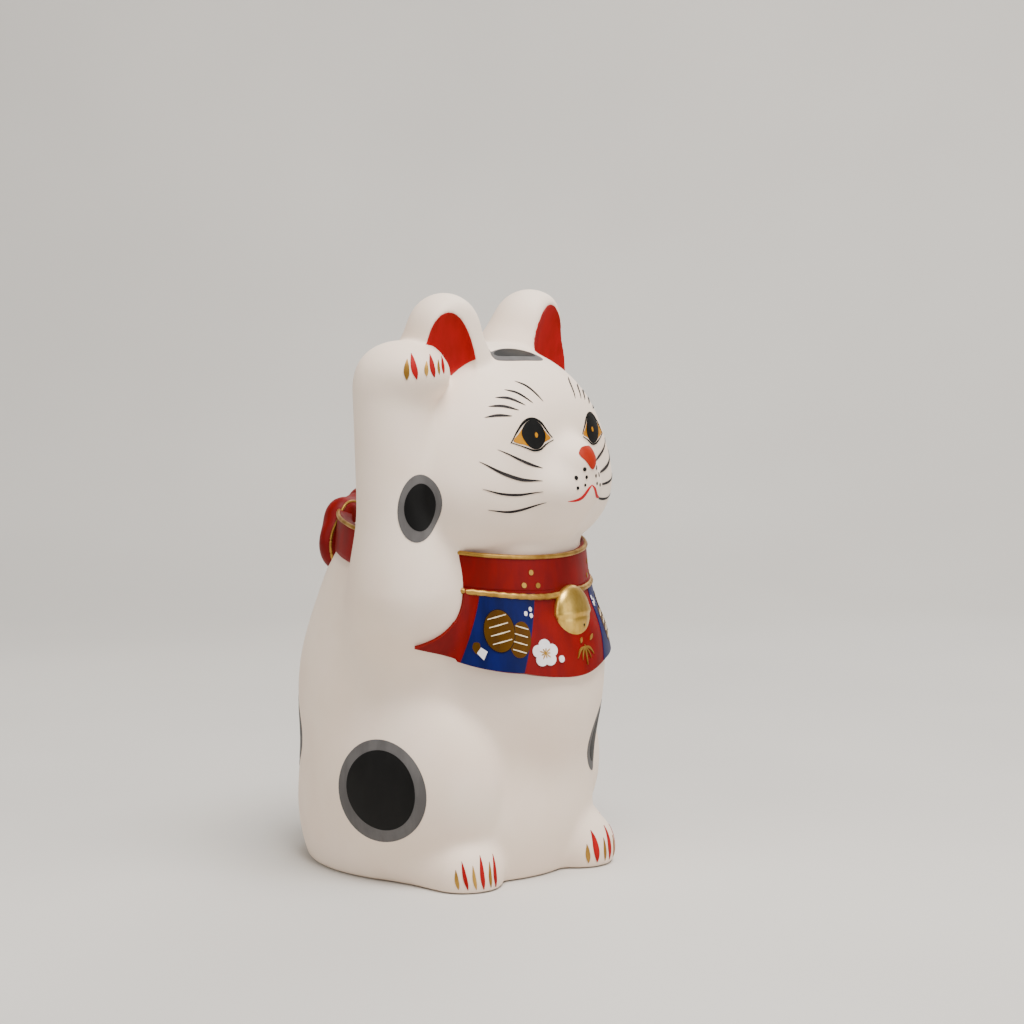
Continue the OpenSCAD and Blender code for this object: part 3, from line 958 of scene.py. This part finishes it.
coin_big = oval(mm(-41.4, 87.1), (5.1, 7.0), 9, 36)
coin_rim = oval(mm(-41.4, 87.1), (5.35, 7.25), 9, 36)
coin_small = oval(mm(-32.4, 83.9), (3.7, 6.0), -9, 32)
bundle_marks = [(-52.9, 81.6), (-52.2, 83.4), (-49.9, 83.2), (-49.7, 81.2), (-51.2, 79.6)]
bundle = smooth_line([mm(turn, height) for turn, height in bundle_marks], 30, True)


def far(outlines):
    """The same outlines mirrored on the panel at the cat's left."""
    return [np.asarray(o, float) * (-1, 1) - (PANEL_SHIFT / BIB_MM, 0) for o in outlines]


bib_film("bib_small_coins", [coin_small, bundle] + far([coin_small, bundle]), 0.34, coin_gold)
bib_film("bib_big_coins", [coin_big] + far([coin_big]), 0.42, coin_gold)
bib_film("bib_big_coin_outline", [coin_rim] + far([coin_rim]), 0.36, black)


def bars(middle, width, gap, rise, shift, line_width=0.42, count=4):
    """Pale bars across a coin."""
    made = []
    for k in range(count):
        up = (count - 1) / 2 - k
        x, z = middle[0] + shift * up, middle[1] + gap * up
        ends = [(x - width / 2, z - rise / 2), (x + width / 2, z + rise / 2)]
        made.append(stroke(ends, line_width, blunt=0.75))
    return made


near_bars = bars(mm(-41.3, 87.6), 6.4, 2.75, 1.5, -0.55)
small_bars = bars(mm(-32.3, 84.0), 4.4, 2.55, -1.5, 0.5)
bib_film("bib_coin_bars", near_bars + small_bars + far(near_bars + small_bars), 0.5, cream, grain=0.8)

block = np.array([mm(-51.0, 79.9), mm(-49.3, 81.8), mm(-46.6, 80.4), mm(-48.2, 77.6)])
speckles = [oval(mm(t, z), (0.62, 0.8), 10, 14) for t, z in ((-26.6, 93.6), (-29.0, 92.3), (-26.4, 91.5))]
white_marks = [block] + speckles
bib_film("bib_white_dots", white_marks + far(white_marks), 0.4, blossom_white, grain=0.8)


def blossom(middle, reach):
    """Five round petals."""
    t = np.linspace(0, 2 * math.pi, 90, endpoint=False) + 0.35
    r = reach * (0.74 + 0.26 * np.abs(np.cos(2.5 * t)) ** 0.7)
    return np.stack([middle[0] + r * np.sin(t), middle[1] + r * np.cos(t)], 1)


flower_at = mm(-21.8, 78.9)
petal_dot = oval(mm(-14.6, 76.5), (0.95, 1.15), 0, 18)
bib_film("bib_blossom", [blossom(flower_at, 4.6), petal_dot], 0.34, blossom_white)
stamens = []
for k in range(9):
    a = 2 * math.pi * k / 9 + 0.2
    reach = 2.2 if k % 2 else 1.7
    tip = (flower_at[0] + reach * math.sin(a), flower_at[1] + reach * math.cos(a))
    stamens.append(stroke([flower_at, tip], 0.42, fattest=0.7, blunt=0.5))
stamens.append(oval(flower_at, (0.55, 0.55), 0, 14))
bib_film("bib_blossom_heart", stamens, 0.44, gold, grain=0.8)

LEAF_AT = np.array(mm(-1.8, 79.6))
LEAVES = [
    ([(0, 0.6), (0.1, -6.2)], 0.7, 0.3, 0.3),
    ([(0, 0), (-2.2, -1.0), (-3.8, -3.6)], 0.8, 0.4, 0.2),
    ([(0, 0), (2.2, -0.8), (3.8, -3.0)], 0.8, 0.4, 0.2),
    ([(0, 0), (-1.2, -1.8), (-1.9, -4.4)], 0.5, 0.4, 0.2),
    ([(0, 0), (1.3, -1.8), (2.0, -4.2)], 0.5, 0.4, 0.2),
    ([(3.2, 1.6), (5.4, 3.4)], 0.9, 0.5, 0.2),
    ([(-1.6, 1.2), (-0.6, 3.0)], 0.9, 0.5, 0.2),
]
leaves = [stroke(LEAF_AT + np.array(line), width, fattest, blunt) for line, width, fattest, blunt in LEAVES]
bib_film("bib_gold_leaves", leaves, 0.34, gold, grain=0.8)

# The bell: a flat dome, a little narrower below, with a raised band and a small sound hole
BELL_TURN = np.array([-2.0])
BELL_UP = np.array([90.6])
BELL_R = 9.3
HOLE_ACROSS, HOLE_DOWN = 1.6, 4.4
bell_at = around(BELL_TURN, bib_reach(BELL_TURN, BELL_UP) - 1.2, BELL_UP)[0]
bell_angle = math.radians(BELL_TURN[0])
bell_face = np.array([math.sin(bell_angle), -math.cos(bell_angle), 0.12])
bell_face /= np.linalg.norm(bell_face)
bell_across = np.cross(np.array([0.0, 0.0, 1.0]), bell_face)
bell_across /= np.linalg.norm(bell_across)
bell_up = np.cross(bell_face, bell_across)


def bell_space(p):
    q = p - bell_at
    return np.stack([q @ bell_across, q @ bell_up, q @ bell_face], 1)


def bell_form(p):
    q = bell_space(p)
    r = np.hypot(q[:, 0], q[:, 1])
    q[:, 0] *= 1 + 0.22 * np.clip(-q[:, 1] / BELL_R, 0, 1)
    d = lump(q, (0, -0.4, 0), (BELL_R, BELL_R * 1.07, 4.2))
    ridge = 0.2 * np.exp(-((q[:, 1] - 0.3) / 0.9) ** 2) - 0.16 * np.exp(-((q[:, 1] + 1.4) / 0.6) ** 2)
    hole = 0.5 * np.exp(-(((q[:, 0] - HOLE_ACROSS) / 0.55) ** 2 + ((q[:, 1] + HOLE_DOWN) / 0.7) ** 2))
    return carve(d - ridge * (r < 12) + hole, q[:, 2] + 3.0, 0.5)


bell_points, bell_faces = surface_of(bell_form, bell_at - 12, bell_at + 12, 0.6)
bell_normals = facing(bell_form, bell_points)
piece("bell_dome", (bell_points, bell_faces, bell_normals[bell_faces]), bell_gold, ["bell"])
hole_sketch = Sketch(bell_form, bell_at + bell_across * HOLE_ACROSS - bell_up * HOLE_DOWN, -bell_face)
piece("bell_hole", hole_sketch.film([oval((0, 0), (0.4, 0.5), 0, 14)], 0.05, 0.5), black)


# ---- Bow at the nape --------------------------------------------------------------------------

BOW_Z = 121.0


def knot(p):
    return lump(p, (0, 38, BOW_Z), (6.6, 7, 7.6))


def loop(p, side):
    q = p * (side, 1, 1)
    d = limb(q, (5, 38, BOW_Z + 1), (14, 37, BOW_Z - 2), 4.6, 5.6)
    d = blend(d, lump(q, (15, 36.5, BOW_Z - 5), (7.5, 6, 9.5)), 5)
    d = blend(d, lump(q, (20, 35.5, BOW_Z - 11), (7, 5.5, 9)), 5)
    fold = limb(q, (7, 45.5, BOW_Z - 1), (20, 44.6, BOW_Z - 8), 1.2, 2.6)
    return carve(d, fold, 1.5)


def bow_tail(p, side):
    q = p * (side, 1, 1)
    d = limb(q, (4, 40, BOW_Z - 4), (8.5, 42.5, BOW_Z - 20), 3.2, 4.6)
    d = np.maximum(d, BOW_Z - 22.5 - q[:, 2])
    return carve(d, lump(q, (6.6, 47.6, BOW_Z - 12), (1.0, 3, 7)), 1.6)


def solid_form(form, low, high, step):
    """A whole form as one closed solid."""
    p, f = surface_of(form, low, high, step)
    return p, f, facing(form, p)[f]


bow_low, bow_high = np.array([-34.0, 24.0, 90.0]), np.array([34.0, 52.0, 136.0])
piece("bow_knot_red", solid_form(knot, (-9, 28, 110), (9, 48, 132), 0.9), red, ["bow_knot"])
for side, word in ((-1, "right"), (1, "left")):
    for kind, form in (("loop", loop), ("tail", bow_tail)):
        solid = solid_form(lambda p, form=form, side=side: form(p, side), bow_low, bow_high, 0.95)
        piece(f"bow_{word}_{kind}_red", solid, red, [f"bow_{word}_{kind}"])


def loop_edge(side):
    """The gold line brushed along the outer edge of a loop."""
    line = smooth_line([(8, 128), (14, 127.5), (21, 123), (26, 116), (27, 108), (23, 101.5), (17, 104)], 60)
    start = np.stack([line[:, 0] * side, np.full(60, 60.0), line[:, 1]], 1)
    middle = np.array([17.0 * side, 37.0, 114.0])
    inward = middle - start
    inward[:, 1] = 0
    inward /= np.linalg.norm(inward, axis=1)[:, None]
    outer = start.copy()
    outer[:, 1] = 33.2
    return meeting(lambda p: loop(p, side), outer - inward * 12, inward)


for side, word in ((-1, "right"), (1, "left")):
    piece(f"bow_{word}_gold_edge", tube(loop_edge(side), 0.5, 8), gold)


# ---- Brushwork on the white clay --------------------------------------------------------------

face = Sketch(figure, (0, -50, 0), (0, 1, 0), head_on=True)


def both(outlines):
    """The outlines and their mirror on the other side of the face."""
    return [np.asarray(o, float) for o in outlines] + [np.asarray(o, float) * (-1, 1) for o in outlines]


EYE_YELLOW = smooth_line(
    [(-24.0, 150.2), (-21.9, 152.6), (-19.0, 155.2), (-16.0, 156.2), (-13.1, 155.2), (-10.9, 152.6),
     (-9.0, 150.5), (-11.5, 149.5), (-14.2, 147.9), (-17.0, 147.7), (-20.4, 148.9)],
    60,
    True,
)
UPPER_LID = [
    (-25.1, 149.6), (-22.4, 153.1), (-19.2, 156.2), (-16.0, 157.3),
    (-12.8, 156.1), (-10.2, 152.9), (-8.2, 150.7),
]
LOWER_LID = [(-24.6, 149.7), (-20.6, 148.2), (-17.0, 146.9), (-14.0, 147.1), (-11.2, 148.7), (-8.0, 149.9)]
LIDS = [stroke(UPPER_LID, 0.85, 0.5, 0.35, 48), stroke(LOWER_LID, 0.6, 0.5, 0.4, 40)]
IRIS = smooth_line(
    [(-20.9, 152.2), (-19.3, 155.3), (-16.0, 156.9), (-12.9, 155.3),
     (-11.3, 151.8), (-12.4, 148.9), (-15.6, 147.2), (-19.0, 148.6)],
    48,
    True,
)
piece("eye_yellow", face.film(both([EYE_YELLOW]), 0.12, 0.9), yellow)
piece("eye_black", face.film(both([IRIS] + LIDS), 0.2, 0.7), black)
piece("eye_light", face.film(both([oval((-15.4, 151.9), (0.62, 0.85), 0, 16)]), 0.28, 0.5), yellow)

NOSE = smooth_line(
    [(0.9, 139.9), (-2.2, 143.1), (-3.5, 145.3), (-1.7, 147.2),
     (1.1, 147.6), (3.9, 147.2), (5.4, 145.3), (4.2, 143.0)],
    48,
    True,
)
piece("nose_coral", face.film([NOSE], 0.2, 0.8), coral)

LIP = [(1.0, 134.7), (-0.9, 133.3), (-3.2, 130.8), (-5.5, 129.9), (-8.4, 129.7)]
LIP_FAR = [(2.0 - x, z) for x, z in LIP[:4]] + [(9.2, 129.8)]
piece(
    "mouth_red",
    face.film([stroke(LIP, 1.15, 0.45, 0.12, 34), stroke(LIP_FAR, 1.15, 0.45, 0.12, 34)], 0.16, 0.7),
    lip_red,
)

DOTS = [
    (-2.6, 140.2, 0.75), (-5.8, 137.5, 0.75), (-1.8, 137.5, 0.62), (-5.6, 134.1, 0.6), (-2.5, 134.9, 0.52)
]
near_dots = [oval((x, z), (0.85 * r, r), 0, 16) for x, z, r in DOTS]
far_dots = [oval((2.0 - x, z), (0.85 * r, r), 0, 16) for x, z, r in DOTS]
piece("whisker_dots", face.film(near_dots + far_dots, 0.18, 0.6), black)

WHISKERS = [
    ([(-29.4, 147.8), (-22.9, 144.2), (-18.2, 142.2), (-14.6, 141.0)], 0.95),
    ([(-34.9, 144.0), (-29.6, 140.2), (-22.6, 137.6), (-15.8, 136.9)], 1.2),
    ([(-35.4, 135.1), (-30.0, 133.3), (-23.0, 132.6), (-16.0, 133.3)], 0.85),
    ([(-33.7, 128.1), (-27.0, 127.1), (-20.6, 127.7), (-14.6, 129.6)], 0.85),
]
BROWS = [
    ([(-29.7, 158.1), (-26.0, 158.7), (-22.1, 158.4)], 0.8),
    ([(-27.2, 161.6), (-23.4, 161.6), (-19.2, 160.2)], 0.85),
    ([(-24.0, 164.4), (-20.2, 164.0), (-16.3, 161.7)], 0.85),
    ([(-19.9, 166.8), (-16.6, 165.6), (-13.2, 162.3)], 0.75),
    ([(-14.6, 169.4), (-11.6, 167.4), (-8.8, 162.6)], 0.75),
]
lines = [stroke(line, width, 0.55, 0.05, 30) for line, width in WHISKERS + BROWS]
piece("whiskers_and_brows", face.film(both(lines), 0.16, 0.8), whisker)


def spot(name, sketch, rim, inner):
    """A black spot with a soft grey rim, brushed on by hand."""
    piece(name + "_rim", sketch.film([rim], 0.13, 1.3), grey)
    piece(name, sketch.film([inner], 0.21, 1.3), black)


spot(
    "haunch_spot",
    Sketch(figure, (-50, -5.6, 32.5), (1, 0.08, 0)),
    oval((0.2, 0), (17.2, 17.7), 8, 60, 0.016, 1.3),
    oval((0.5, 0.6), (13.3, 13.8), 8, 56, 0.02, 2.1),
)
spot(
    "haunch_spot_left",
    Sketch(figure, (50, 2, 36), (-1, 0.0, 0)),
    oval((0, 0), (15.5, 16.5), 0, 56, 0.02, 0.4),
    oval((0, 0.3), (11.8, 12.8), 0, 50, 0.025, 1.7),
)
spot(
    "arm_spot",
    Sketch(figure, (-48.4, -20.6, 128.6), (0.62, 0.78, 0)),
    oval((0, 0), (7.0, 11.3), -5, 44, 0.02, 0.6),
    oval((0.3, 0.3), (5.1, 8.0), -5, 40, 0.02, 1.9),
)
spot(
    "foreleg_spot",
    Sketch(figure, (21, -46, 44.5), (-0.15, 1, 0)),
    oval((0, 0), (8.6, 12.8), 0, 44, 0.02, 2.6),
    oval((0.2, 0.2), (6.2, 9.8), 0, 40, 0.03, 0.8),
)
spot(
    "back_spot",
    Sketch(figure, (-20, 50, 43), (0.32, -1, 0)),
    oval((0, 0), (14.5, 14.0), 0, 50, 0.025, 1.1),
    oval((0, 0), (11.8, 11.0), 0, 46, 0.03, 2.4),
)
spot(
    "crown_spot",
    Sketch(figure, (-2.5, -29.3, 179), (0, 0, -1), (0, 1, 0), head_on=True),
    oval((0, 0), (11.3, 4.4), -12, 40, 0.02, 0.9),
    oval((0.5, 1.0), (8.6, 2.9), -12, 36, 0.03, 1.4),
)


def claws(name, sketch, marks):
    """Brushed claws: each is (paint, top, bottom, width)."""
    for paint, word in ((gold, "gold"), (claw_red, "red")):
        outlines = []
        for kind, top, bottom, width in marks:
            if kind == word:
                a, b = sketch.flat(top, bottom)
                sway = np.array([0.12 * (b[1] - a[1]), 0]) * 0.35
                outlines.append(stroke([a, (a + b) / 2 + sway, b], width, 0.6, 0.1, 22))
        if outlines:
            piece(f"{name}_{word}", sketch.film(outlines, 0.16, 0.6), paint)


claws(
    "raised_paw_claws",
    Sketch(figure, (-47, -22, 175), (0.66, 0.75, 0)),
    [
        ("gold", (-50.9, -18.2, 177.6), (-52.5, -19.2, 170.8), 1.8),
        ("red", (-48.7, -18.2, 179.4), (-50.7, -22.0, 171.0), 2.0),
        ("gold", (-47.0, -23.3, 176.9), (-48.4, -24.3, 172.0), 1.4),
        ("red", (-44.1, -22.5, 179.0), (-46.0, -25.8, 171.6), 1.8),
        ("gold", (-43.6, -26.1, 177.2), (-44.0, -26.3, 172.4), 0.9),
        ("red", (-41.2, -26.3, 178.2), (-42.0, -26.8, 172.6), 1.2),
    ],
)
HIND_CLAWS = [
    ("gold", (45.1, -32.7, 8.1), (44.9, -33.6, 1.6), 1.2),
    ("red", (43.6, -34.4, 10.7), (43.0, -36.0, 1.4), 1.3),
    ("gold", (41.4, -37.0, 9.4), (41.0, -38.0, 1.4), 1.2),
    ("red", (38.5, -38.4, 12.1), (38.6, -39.4, 1.2), 1.6),
    ("gold", (35.8, -40.0, 9.9), (36.0, -40.6, 1.4), 1.2),
    ("red", (33.1, -40.0, 11.6), (33.5, -40.8, 1.2), 1.4),
]
for side, word in ((-1, "right"), (1, "left")):
    claws(
        f"{word}_hind_claws",
        Sketch(figure, (39 * side, -38, 5), (-0.55 * side, 0.83, 0.12)),
        [
            (kind, (side * top[0], *top[1:]), (side * bottom[0], *bottom[1:]), width)
            for kind, top, bottom, width in HIND_CLAWS
        ],
    )
claws(
    "left_front_claws",
    Sketch(figure, (16, -53, 6), (-0.05, 1, 0.1)),
    [
        ("gold", (8.4, -50.9, 8.5), (8.8, -51.8, 1.8), 1.2),
        ("red", (11.3, -51.9, 12.7), (11.6, -53.4, 1.8), 2.0),
        ("gold", (14.8, -53.4, 9.9), (15.0, -54.0, 1.8), 1.2),
        ("red", (18.0, -52.8, 13.3), (17.6, -54.0, 1.8), 2.0),
        ("gold", (21.4, -52.0, 9.6), (21.2, -53.0, 1.8), 1.2),
        ("red", (24.6, -50.2, 12.2), (24.0, -51.6, 1.8), 1.7),
    ],
)

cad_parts["base_disc"].data.materials.clear()
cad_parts["base_disc"].data.materials.append(biscuit_clay)
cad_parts["base_stopper"].data.materials.clear()
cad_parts["base_stopper"].data.materials.append(pale_rubber)


# ---- Table, light and camera ------------------------------------------------------------------

VIEW_TURN = 55

floor_paint = Paint("pale table", Roughness=0.7)
floor_cloud = floor_paint.spread(floor_paint.noise(3.0, 3.0, 0.5), 0.3, 0.7, 0.0, 1.0)
floor_paint.set(Base_Color=floor_paint.mix(floor_cloud, tone(196, 193, 188), tone(204, 201, 196)))
floor_mesh = bpy.data.meshes.new("table_top")
DEPTH, WIDTH, BACK, RISE, BEND, CLEAR = 3.0, 3.0, 1.0, 2.4, 0.45, 0.0002
profile = [(-DEPTH, 0.0), (BACK - BEND, 0.0)]
for a in np.linspace(0, math.pi / 2, 13)[1:]:
    profile.append((BACK - BEND + BEND * math.sin(a), BEND - BEND * math.cos(a)))
profile.append((BACK, RISE))
c, s = math.cos(math.radians(VIEW_TURN)), math.sin(math.radians(VIEW_TURN))
corners = [(x * c + y * s, -x * s + y * c, z - CLEAR) for x in (-WIDTH, WIDTH) for y, z in profile]
k = len(profile)
floor_mesh.from_pydata(corners, [], [(i, i + k, i + k + 1, i + 1) for i in range(k - 1)])
floor_mesh.polygons.foreach_set("use_smooth", np.ones(k - 1, bool))
floor = bpy.data.objects.new("table_top", floor_mesh)
floor_mesh.materials.append(floor_paint.material)
bpy.context.scene.collection.objects.link(floor)
floor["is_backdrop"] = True


def lamp(name, at, aim, size, power, colour):
    """A soft rectangular lamp that points at aim."""
    data = bpy.data.lights.new(name, "AREA")
    data.shape, data.size, data.size_y = "RECTANGLE", size[0], size[1]
    data.energy, data.color = power, colour
    made = bpy.data.objects.new(name, data)
    made.location = at
    made.rotation_mode = "QUATERNION"
    made.rotation_quaternion = (Vector(aim) - Vector(at)).to_track_quat("-Z", "Y")
    bpy.context.scene.collection.objects.link(made)
    made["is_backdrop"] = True


view_turn = -math.radians(VIEW_TURN)
toward = np.array([math.sin(view_turn), -math.cos(view_turn), 0.0])
rightward = np.array([math.cos(view_turn), math.sin(view_turn), 0.0])


def standing(right, near, up):
    """A place in the room as the viewer sees it, in metres."""
    return tuple(rightward * right + toward * near + np.array([0, 0, up]))


lamp("overhead", standing(0.25, 0.35, 1.25), (0, 0, 0.08), (0.7, 0.7), 32.0, (1.0, 0.965, 0.925))
lamp("window", standing(-0.85, 0.6, 0.7), (0, 0, 0.1), (0.9, 0.9), 6.0, (1.0, 0.965, 0.925))
lamp("fill", standing(0.95, 0.7, 0.35), (0, 0, 0.1), (0.9, 0.7), 4.5, (1.0, 0.985, 0.97))
lamp("rim", standing(0.35, -0.8, 0.8), (0, 0, 0.12), (0.5, 0.6), 3.0, (1.0, 1.0, 1.0))

world = bpy.data.worlds.new("room")
world.use_nodes = True
world.node_tree.nodes["Background"].inputs["Color"].default_value = (0.93, 0.92, 0.9, 1.0)
world.node_tree.nodes["Background"].inputs["Strength"].default_value = 0.24
bpy.context.scene.world = world

LENS = 91.40625
LOOK_ASIDE, LOOK_DOWN = 3 / 130, 37 / 325
EYE_NEAR, EYE_UP = 0.9, 0.224

camera_data = bpy.data.cameras.new("camera")
camera_data.sensor_width = 36.0
camera_data.lens = LENS
camera_data.dof.use_dof = False
camera_data.clip_start, camera_data.clip_end = 0.05, 20.0
camera = bpy.data.objects.new("camera", camera_data)
bpy.context.scene.collection.objects.link(camera)
bpy.context.scene.camera = camera
origin = on_cad(np.zeros(3))
eye = np.array(standing(0.0, EYE_NEAR, EYE_UP)) + np.array([origin[0], origin[1], 0.0])
yaw, pitch = math.atan(LOOK_ASIDE), math.atan(LOOK_DOWN)
ahead = -toward * math.cos(yaw) + rightward * math.sin(yaw)
look = ahead * math.cos(pitch) - np.array([0, 0, math.sin(pitch)])
camera.location = eye
camera.rotation_mode = "QUATERNION"
camera.rotation_quaternion = Vector(look).to_track_quat("-Z", "Y")
camera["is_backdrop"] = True
